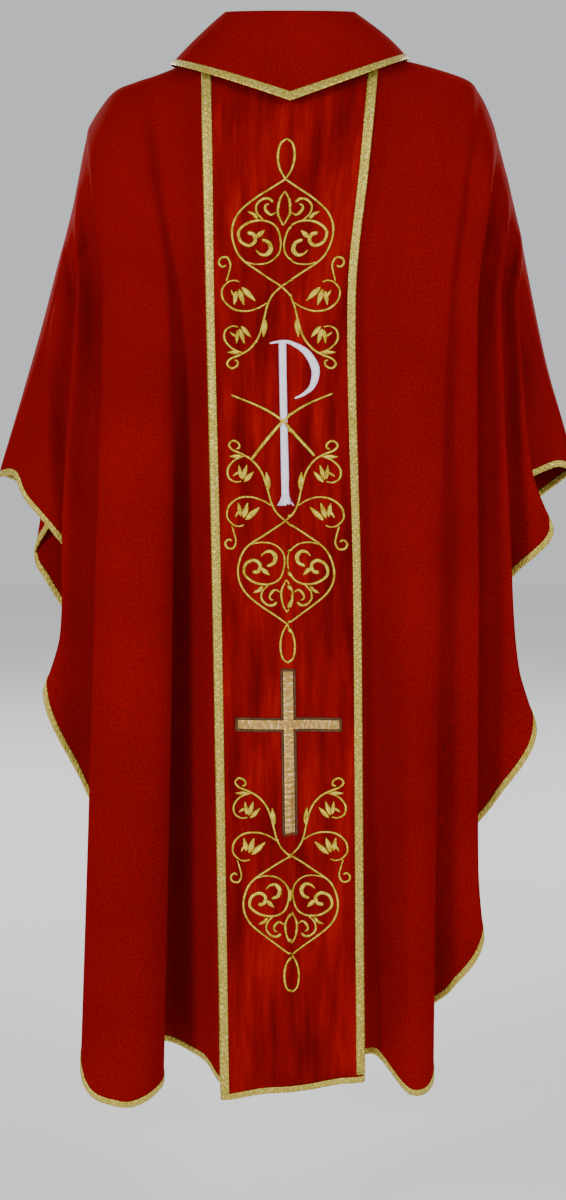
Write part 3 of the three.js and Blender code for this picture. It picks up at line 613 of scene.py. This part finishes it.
def folded_binding(name, face, us, lift, half, end, node):
    """A strip folded round the edge of a layer that is twice half thick, and its run in metres.

    The leg is measured along the fall line, so it's made longer where the hem slants across it.
    """
    us = np.asarray(us, float)
    end = np.broadcast_to(end, us.shape)
    length = fall_length(face, us)
    along = np.gradient(cloth(face, us, end), axis=0)
    fall = cloth(face, us, end) - cloth(face, us, end - 0.02)
    slant = np.linalg.norm(np.cross(along, fall), axis=1)
    slant /= np.linalg.norm(along, axis=1) * np.linalg.norm(fall, axis=1)
    legs = np.minimum(BINDING_WIDTH / length / np.maximum(slant, 0.5), 0.5)
    outer = half + BINDING_OUTER
    inner = half + BINDING_INNER
    past = 1.0 / length
    # Each point of the section: legs up from the edge, millimetres past it, and lift.
    shape = [(-0.97, 0, outer * 0.85), (-0.8, 0, outer), (-0.35, 0, outer + 0.15),
             (0, 0, outer), (0, 1, outer * 0.6), (0, 1.2, 0)]
    shape += [(a, b, -c) for a, b, c in shape[-2::-1]]
    under = [(-1, 0, inner), (-0.8, 0, inner), (-0.35, 0, inner), (0, 0, inner), (0, 0.2, inner * 0.6)]
    shape += [(a, b, -c) for a, b, c in under] + [(0, 0.3, 0)] + under[::-1]
    sections = []
    for leg, over, rise in shape:
        sections.append(lifted(face, us, end + leg * legs + over * past, lift + rise)[0])
    sections = np.stack(sections, axis=1)
    run = chord_places(sections[:, 5])
    uvs = np.stack([np.broadcast_to([a * BINDING_WIDTH for a, _, _ in shape], sections.shape[:2]),
                    np.broadcast_to(run[:, None], sections.shape[:2])], axis=-1)
    piece = swept(name, sections, uvs, BRAID)
    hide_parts(node)
    return piece, run[-1] * MM


def braid_sections(top, normal):
    """A domed braid: points[i][j] across the strip j and along it i, with a flat underside."""
    n = top.shape[1]
    w = np.linspace(-1, 1, n)
    dome = 0.45 + 0.45 * (1 - np.abs(w) ** 3) + 0.08 * np.cos(w * math.pi * 3)
    crown = top + normal * dome[None, :, None]
    return np.concatenate([crown, top[:, ::-1]], axis=1)


def orphrey_u(across):
    """The fall line, as a number with a fraction, that lies at a distance across the orphrey."""
    return MIDDLE_INDEX + SPANS * np.asarray(across, float) / (ORPHREY_WIDTH / 2)


def foot_share(face, us):
    """The share at which the orphrey ends: a straight, slightly slanting foot."""
    across = (np.asarray(us, float) - MIDDLE_INDEX) / SPANS
    return share_at(face, us, mix(FOOT_LEFT, FOOT_RIGHT, (across + 1) / 2))


def share_at(face, u, height):
    """The share at which the fall line u passes each height, by halving."""
    low, high = np.zeros(np.shape(u)), np.full(np.shape(u), 1.055)
    for _ in range(22):
        half = (low + high) / 2
        above = cloth(face, u, half)[..., 2] > height
        low, high = np.where(above, half, low), np.where(above, high, half)
    return low


def add_orphreys():
    edge = ORPHREY_WIDTH / 2
    for name, face in FACES:
        us = orphrey_u(np.linspace(-edge, edge, 73))
        end = foot_share(face, us)
        body = np.linspace(UNDER_COLLAR, 1, 150)
        shares = np.array([np.concatenate([body, [1 + (e - 1) / 2, e]]) for e in end])
        sections, uvs = layer_sections(face, us, shares, ORPHREY_LIFT, ORPHREY_LIFT + SATIN_THICKNESS)
        piece = swept(f"{name}_orphrey_satin", sections, uvs, SATIN)
        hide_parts(f"{name}_orphrey")

        # The canvas shares the satin's rows, so that it can't show through between them.
        sections, uvs = layer_sections(face, us[4:-4], shares[4:-4, :-4], *CANVAS_LIFTS)
        piece = swept(f"{name}_orphrey_canvas", sections, uvs, CANVAS)
        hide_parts(f"{name}_orphrey_interlining")

        for hand, sign in (("left", -1), ("right", 1)):
            across = np.sort(sign * np.array([edge + 0.6, edge - BRAID_WIDTH]))
            strip = orphrey_u(np.linspace(*across, 9))
            rim = orphrey_u([sign * edge])
            last = (foot_share(face, rim) - (BINDING_WIDTH + 1) / fall_length(face, rim))[0]
            run = np.concatenate([np.linspace(UNDER_COLLAR, 1, 260), [(1 + last) / 2, last]])
            top, normal = lifted(face, strip[None, :], run[:, None], TRIM_LIFT)
            sections = braid_sections(top, normal)
            down = np.cumsum(np.linalg.norm(np.diff(top[:, 4], axis=0, prepend=top[:1, 4]), axis=-1))
            wide = np.concatenate([np.linspace(0, BRAID_WIDTH, 9), np.linspace(BRAID_WIDTH, 0, 9)])
            uvs = np.stack(np.broadcast_arrays(wide[None, :], down[:, None]), axis=-1)
            piece = swept(f"{name}_braid_{hand}", sections, uvs, BRAID)
            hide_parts(f"{name}_orphrey_braid_{hand}")

        half = SATIN_THICKNESS / 2
        piece, _ = folded_binding(f"{name}_foot_binding", face, us, ORPHREY_LIFT + half, half, end,
                                  f"{name}_orphrey_hem_binding")


def add_hems():
    inner = SPANS + 0.02
    for name, face in FACES:
        for hand, us in (("left", np.linspace(0, MIDDLE_INDEX - inner, 420)),
                         ("right", np.linspace(MIDDLE_INDEX + inner, LAST_INDEX, 440))):
            piece, run = folded_binding(f"{name}_hem_{hand}", face, us, 0, CLOTH / 2, 1.0,
                                        f"{name}_hem_binding_{hand}")


# ---------------------------------------------------------------- collar

FALL_CLOTH = 110  # millimetres of cloth from roll to edge, and to one radian round the neck
STAND_CLOTH = (75, 50)  # the same for the stand: to one radian, and from top to foot


def collar_point(angle, share, lift):
    """The collar fall at an angle round the neck, from its roll (0) to its lower edge (1)."""
    c, s = np.cos(angle), np.sin(angle)
    depth = np.where(s < 0, FALL_DEPTH[-1], FALL_DEPTH[1])
    point = np.where(s < 0, FALL_POINT[-1], FALL_POINT[1])
    roll = np.stack([ROLL[0] * c, ROLL[1] * s, ROLL[2] - 3 * np.abs(s)], axis=-1)
    side = mix(FALL_SIDE_HEIGHTS[0], FALL_SIDE_HEIGHTS[1], (c + 1) / 2)
    foot = np.stack([FALL_HALF_WIDTH * c, depth * s, mix(side, point, 1 - np.abs(c))], axis=-1)
    share = np.asarray(share, float)
    p = mix(roll, foot, share[..., None])
    sag = np.sin(math.pi * share) * mix(1, -4, np.abs(c))
    soft = 1.2 * np.sin(angle * 5 + share * 3) * share * (1 - share) * 4
    radius = 1 + (lift * 0.8 - sag + soft) / np.hypot(p[..., 0], p[..., 1])
    p[..., 0] *= radius
    p[..., 1] *= radius
    p[..., 2] += lift * 0.6
    return p


def ring_piece(name, profile, angles, material, node):
    """A ring swept round the neck: profile is a list of (share, lift) round its section."""
    share, lift = (np.array(v, float) for v in zip(*profile))
    a = angles[:, None]
    sections = collar_point(a + 0 * share, share + 0 * a, lift + 0 * a)
    around = np.broadcast_to(a * FALL_CLOTH, sections.shape[:2])
    uvs = np.stack([around, np.broadcast_to(share * FALL_CLOTH, sections.shape[:2])], axis=-1)
    piece = swept(name, sections, uvs, material, closed=True)
    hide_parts(node)
    return piece


def add_collar():
    angles = np.linspace(0, 2 * math.pi, 361)[:-1]
    outside = [(s, 0.0) for s in np.linspace(0.03, 1, 40)]
    inside = [(s, -1.0) for s in np.linspace(1, 0.03, 40)]
    roll = [(0.0, -1.2), (0.0, -0.5), (0.0, -0.2)]
    fall = outside + [(1.004, -0.5)] + inside + roll
    piece = ring_piece("collar_fall_cloth", fall, angles, RED, "collar_fall")
    outside = [(s, -1.3) for s in np.linspace(0.08, 0.91, 20)]
    inside = [(s, -1.7) for s in np.linspace(0.91, 0.08, 20)]
    piece = ring_piece("collar_canvas", outside + inside, angles, CANVAS, "collar_interlining")
    w = np.linspace(-1, 1, 9)
    middle, half, under = 0.955, 0.05, 0.3
    band = [(middle + half * t, under + 0.5 + 0.45 * (1 - abs(t) ** 3)) for t in w]
    band += [(middle + half * t, under) for t in w[::-1]]
    piece = ring_piece("collar_edge_braid", band, angles, BRAID, "collar_braid")

    c, s = np.cos(angles), np.sin(angles)
    low = np.where(s < 0, NECK_HEIGHTS[-1], NECK_HEIGHTS[1])
    foot = np.stack([(NECK[0] - 5) * c, (NECK[1] - 5) * s,
                     mix(NECK_HEIGHTS["side"], low, np.abs(s)) + 1], axis=-1)
    top = np.stack([(ROLL[0] - 3) * c, (ROLL[1] - 3) * s, ROLL[2] - 3 * np.abs(s) - 1], axis=-1)
    run = np.linspace(0, 1, 16)[:, None]
    wall = top[:, None] + (foot - top)[:, None] * run
    radial = np.stack([c, s, 0 * c], axis=-1)[:, None]
    sections = np.concatenate([wall, (wall - radial)[:, ::-1]], axis=1)
    around = angles[:, None] * STAND_CLOTH[0]
    down = np.concatenate([run, run[::-1]])[:, 0] * STAND_CLOTH[1]
    uvs = np.stack(np.broadcast_arrays(around, down), axis=-1)
    piece = swept("collar_stand_cloth", sections, uvs, RED, closed=True)
    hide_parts("collar_stand")


def add_inside():
    for name, face in FACES:
        us = np.linspace(MIDDLE_INDEX - 2.5, MIDDLE_INDEX + 2.5, 60)
        sections, uvs = layer_sections(face, us, np.linspace(0, UNDER_COLLAR, 8), *FACING_LIFTS)
        piece = swept(f"{name}_facing_cloth", sections, uvs, RED)
        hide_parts(f"{name}_neck_facing")
    for hand, out in (("left", -1), ("right", 1)):
        us = MIDDLE_INDEX + np.sort(out * np.array([4.0, 8.0]))
        us = np.linspace(us[0], us[1], 80)
        sides = []
        for face, order in ((-1, 1), (1, -1)):
            shares = np.linspace(0.0075, 0, 4)[None, ::order]
            low, high = (lifted(face, us[:, None], shares, lift)[0] for lift in TAPE_LIFTS)
            sides.append((high, low))
        top = np.concatenate([sides[0][0], sides[1][0]], axis=1)
        bottom = np.concatenate([sides[0][1], sides[1][1]], axis=1)
        sections = np.concatenate([top, bottom[:, ::-1]], axis=1)
        run = np.broadcast_to(np.arange(80)[:, None] * 1.6, sections.shape[:2])
        wide = np.broadcast_to(np.linspace(0, 24, 16)[None], sections.shape[:2])
        piece = swept(f"shoulder_canvas_{hand}", sections, np.stack([wide, run], axis=-1), CANVAS)
        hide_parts(f"shoulder_tape_{hand}")


# ---------------------------------------------------------------- embroidery

UPPER_SCROLL, MIDDLE_SCROLL, LOWER_SCROLL = -265, -546, -961
MONOGRAM = -425
CROSS_TOP, CROSS_FOOT, CROSS_ARM, CROSS_HALF_SPAN = -730, -933, -797, 62
CROSS_FIELD, CROSS_BORDER = 12, 3

# Left halves of the scroll, from the lower crossing upwards: points (across, height), widths.
SCROLL_LINES = [
    ([[0, 126], [6, 138], [8.5, 153], [6, 168], [0, 174]], (2.4, 3, 2.6)),
    ([[0, 126], [-15, 115], [-32, 103], [-49, 88], [-57, 72], [-57, 54], [-48, 34], [-24, 16], [0, 0]],
     (2.6, 3, 2.6)),
    ([[-43, 29], [-30, 26], [-15, 28], [-4, 38], [-2, 52], [-8, 70], [-21, 77], [-38, 75], [-50, 65],
      [-48, 53], [-38, 48], [-31, 53], [-33, 61], [-40, 63]], (2, 2.8, 5.5)),
    ([[-23, 55], [-15, 51], [-13, 43], [-18, 37], [-25, 38], [-30, 43]], (4, 6.5, 1.5)),
    ([[-21, 77], [-29, 86], [-30, 95], [-24, 102], [-17, 103], [-12, 99]], (2, 3, 4)),
    ([[-8, 87], [-14, 84], [-20, 90], [-20, 95], [-16, 97]], (2, 4, 2)),
    ([[0, 0], [-10, -10], [-16, -22], [-20, -38], [-27, -60], [-38, -74], [-50, -81], [-62, -86],
      [-66, -92], [-61, -97], [-54, -94], [-53, -89], [-57, -87]], (2.6, 3, 3)),
    ([[-46, -79], [-60, -73], [-68, -63], [-67, -52], [-59, -47], [-51, -48]], (2, 3, 2)),
    ([[-52, -60], [-58, -57], [-62, -54]], (1.5, 4, 1.5)),
    ([[-16, -19], [-26, -25], [-40, -29], [-56, -27], [-68, -17], [-70, -4], [-63, 5], [-55, 7],
      [-49, 5]], (2, 3, 2)),
    ([[-50, -9], [-56, -10], [-60, -4]], (2, 4.5, 1.5)),
    ([[-65, 6], [-62, 16], [-60, 26], [-64, 34], [-71, 33], [-73, 27], [-69, 23], [-65, 25]],
     (2, 3, 3)),
]
# Leaves: base, tip and width.
SCROLL_LEAVES = [
    ([-30, 57], [-20, 66], 6), ([-29, 83], [-40, 88], 4), ([-28, 80], [-34, 84], 4),
    ([-19, -38], [-21, -60], 7), ([-48, -47], [-36, -60], 6), ([-50, -50], [-44, -68], 6),
    ([-47, -1], [-30, -17], 7), ([-50, -3], [-44, -22], 7), ([-49, -78], [-66, -78], 5),
    ([-52, -51], [-54, -68], 5), ([-53, -5], [-56, -22], 6),
]
FLEUR = [[0, 112], [-4.5, 103], [-6.5, 92], [-6, 84], [0, 71]]


def on_orphrey(face, across, height, lift):
    """Points lifted off the orphrey at a distance across it, as its viewer sees it, and a height."""
    u = orphrey_u(-face * across)
    return lifted(face, u, share_at(face, u, height), lift)[0]


def stroke_section(face, line, widths, rise, base, sides=7):
    """One raised stitch run along a flat line (across, height) with a width at each point."""
    along = np.gradient(line, axis=0)
    along /= np.linalg.norm(along, axis=1, keepdims=True)
    side = np.stack([-along[:, 1], along[:, 0]], axis=1) * widths[:, None] / 2
    turn = np.linspace(0, math.pi, sides)
    place = np.cos(turn)[None, :]
    crown = np.sin(turn)[None, :] * np.minimum(rise, 0.25 + widths[:, None] * 0.3)
    across = line[:, :1] + side[:, :1] * place
    height = line[:, 1:] + side[:, 1:] * place
    top = on_orphrey(face, across, height, base + crown)
    under = on_orphrey(face, across[:, ::-1], height[:, ::-1], base - 0.2 + 0 * crown)
    sections = np.concatenate([top, under[:, 1:-1]], axis=1)
    run = chord_places(line)
    wide = np.concatenate([place[0], place[0, ::-1][1:-1]])[None, :] * max(1, widths.max() / 10)
    return sections, np.stack(np.broadcast_arrays(wide, run[:, None]), axis=-1)


def curve_line(points, widths, step=1.6):
    """A smooth line through points, and its width at each place, narrowed at both ends."""
    points = np.array(points, float)
    places = chord_places(points)
    count = max(6, int(places[-1] / step))
    where = np.linspace(0, places[-1], count)
    share = where / places[-1]
    width = np.interp(share, np.linspace(0, 1, len(widths)), widths)
    ends = np.minimum(1, np.minimum(share, 1 - share) * places[-1] / 1.5 + 0.35)
    return through(points, places, where), width * ends


def leaf_line(base, tip, width):
    share = np.linspace(0, 1, 12)
    line = np.array(base) + (np.array(tip) - np.array(base)) * share[:, None]
    return line, width * (0.12 + np.sin(math.pi * share ** 0.8))


def joined_strokes(name, face, strokes, material, node, rise=1.1, base=THREAD_LIFT):
    """All the strokes of one motif as one piece."""
    points, faces, uvs, count = [], [], [], 0
    for line, widths in strokes:
        section, uv = stroke_section(face, line, widths, rise, base)
        n, m = section.shape[:2]
        quads = np.concatenate([grid_faces(n, m, False, True), end_caps(n, m)])
        p = section.reshape(-1, 3)[quads] - section.reshape(-1, 3).mean(axis=0)
        turned = np.einsum("ij,ij->", p[:, 0], np.cross(p[:, 1], p[:, 2])
                           + np.cross(p[:, 2], p[:, 3])) < 0
        faces.append((quads[:, ::-1] if turned else quads) + count)
        points.append(section.reshape(-1, 3))
        uvs.append(uv.reshape(-1, 2))
        count += n * m
    points, faces, uvs = (np.concatenate(part) for part in (points, faces, uvs))
    piece = make_object(name, points, faces, uvs, material)
    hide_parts(node)


def scroll_strokes(height, turned):
    """Both halves of a scroll; turned is -1 for one that stands on its head."""
    strokes = []
    for sign in (-1, 1):
        place = np.array([sign, turned])
        for points, widths in SCROLL_LINES:
            line, width = curve_line(points, widths)
            strokes.append((line * place + [0, height], width))
        for leaf in SCROLL_LEAVES:
            line, width = leaf_line(*leaf)
            strokes.append((line * place + [0, height], width))
        line, width = curve_line(FLEUR, (2, 3.4, 2))
        strokes.append((line * place + [0, height], width))
    return strokes


RHO_STEM = ([[1, 95], [1, 0], [1, -90]], (9, 9, 10))
RHO_FOOT = ([[1, -84], [1, -90], [1, -95], [1, -99], [1, -102]], (8.5, 10, 13.5, 17.5, 21.5))
RHO_BOWL = ([[-14, 93], [0, 95], [12, 93], [30, 82], [41, 62], [37, 42], [26, 32], [15, 27]],
            (2, 4, 6, 9, 11, 9, 5, 2))
CHI = [([[-62, 31], [-24, 16], [0, 0], [18, -20], [38, -42]], (2.4, 3, 3.6, 4.6, 4)),
       ([[62, 33], [26, 18], [0, 0], [-18, -20], [-38, -46]], (2.4, 3, 3.6, 4.6, 4))]


def flat_cross(grow):
    """The corners of a cross, grown by a margin: a closed outline."""
    h, s = CROSS_FIELD / 2 + grow, CROSS_HALF_SPAN + grow
    top, foot, arm = CROSS_TOP + grow, CROSS_FOOT - grow, CROSS_ARM
    return [[-h, top], [h, top], [h, arm + h], [s, arm + h], [s, arm - h], [h, arm - h], [h, foot],
            [-h, foot], [-h, arm - h], [-s, arm - h], [-s, arm + h], [-h, arm + h]]


def bar_stroke(a, b, width):
    """A straight stroke of one width, with a point every few millimetres."""
    a, b = np.array(a, float), np.array(b, float)
    n = max(4, int(np.linalg.norm(b - a) / 3))
    return a + (b - a) * np.linspace(0, 1, n)[:, None], np.full(n, width)


def outline_strokes(corners, width):
    """A straight stroke along each side of a closed outline."""
    strokes = []
    for a, b in zip(corners, corners[1:] + corners[:1]):
        strokes.append(bar_stroke(a, b, width))
    return strokes


def add_embroidery():
    for name, face in FACES:
        for part, height, turned in (("upper", UPPER_SCROLL, 1), ("middle", MIDDLE_SCROLL, -1),
                                     ("lower", LOWER_SCROLL, -1)):
            joined_strokes(f"{name}_{part}_scrollwork", face, scroll_strokes(height, turned), GOLD,
                           f"{name}_scroll_{part}")
        foot = tuple(np.array(v, float) for v in RHO_FOOT)
        rho = [curve_line(*RHO_STEM), foot, curve_line(*RHO_BOWL)]
        joined_strokes(f"{name}_rho_stitching", face, [(l + [0, MONOGRAM], w) for l, w in rho], SILVER,
                       f"{name}_rho", 1.3)
        joined_strokes(f"{name}_chi_stitching", face, [(l + [0, MONOGRAM], w) for l, w in
                       (curve_line(*c) for c in CHI)], GOLD, f"{name}_chi", 1.5, 3.0)
        joined_strokes(f"{name}_cross_outline", face, outline_strokes(flat_cross(1.5), CROSS_BORDER),
                       BROWN, f"{name}_cross_border", 1.2)
        field = [bar_stroke((0, CROSS_TOP), (0, CROSS_FOOT), CROSS_FIELD),
                 bar_stroke((-CROSS_HALF_SPAN, CROSS_ARM), (CROSS_HALF_SPAN, CROSS_ARM), CROSS_FIELD)]
        joined_strokes(f"{name}_cross_filling", face, field, LAME, f"{name}_cross_field",
                       0.8)


add_panels()
add_orphreys()
add_hems()
add_collar()
add_inside()
add_embroidery()
